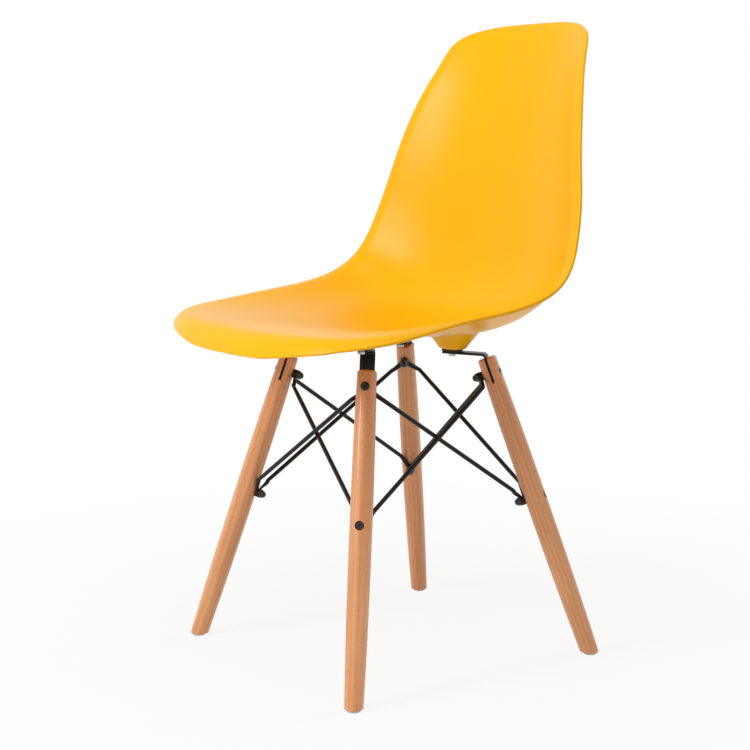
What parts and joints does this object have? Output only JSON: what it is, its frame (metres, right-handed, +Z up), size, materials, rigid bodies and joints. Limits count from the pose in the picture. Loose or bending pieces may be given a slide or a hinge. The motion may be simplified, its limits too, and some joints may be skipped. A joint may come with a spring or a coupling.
{
  "type": "moulded shell dining chair",
  "caption": "Dining side chair: one-piece moulded bucket shell with a rolled rim on splayed turned wooden legs, braced by crossed steel rods and bolted through steel brackets.",
  "frame": {"origin": "on the floor under the middle of the chair's outside box", "axes": "+Z up along the chair's height, -Y towards the front of the seat, +X towards the sitter's left"},
  "size_m": [0.473, 0.4994, 0.8191],
  "materials": {
    "shell_plastic": "satin-gloss moulded polypropylene, warm yellow",
    "leg_wood": "clear satin lacquer on beech",
    "black_steel": "satin black powder coat",
    "zinc_steel": "bright zinc plate",
    "black_rubber": "matt",
    "glide_nylon": "translucent white nylon",
    "insert_brass": "plain turned"
  },
  "bodies": {
    "root": {"seat_shell": "shell_plastic", "seat_inserts": "insert_brass", "seat_bolts": "zinc_steel", "leg_bolts_upper": "black_steel", "leg_bolts_lower": "black_steel", "cap_nuts_upper": "black_steel", "cap_nuts_lower": "black_steel", "glide_nails": "zinc_steel", "leg_front_right": "leg_wood", "glide_front_right": "glide_nylon", "bracket_front_right": "black_steel", "seat_pad_front_right": "black_rubber", "leg_front_left": "leg_wood", "glide_front_left": "glide_nylon", "bracket_front_left": "black_steel", "seat_pad_front_left": "black_rubber", "leg_rear_left": "leg_wood", "glide_rear_left": "glide_nylon", "bracket_rear_left": "black_steel", "seat_pad_rear_left": "black_rubber", "leg_rear_right": "leg_wood", "glide_rear_right": "glide_nylon", "bracket_rear_right": "black_steel", "seat_pad_rear_right": "black_rubber", "rod_front_outer": "black_steel", "rod_front_inner": "black_steel", "rod_left_outer": "black_steel", "rod_left_inner": "black_steel", "rod_rear_outer": "black_steel", "rod_rear_inner": "black_steel", "rod_right_outer": "black_steel", "rod_right_inner": "black_steel"}
  },
  "joints": []
}
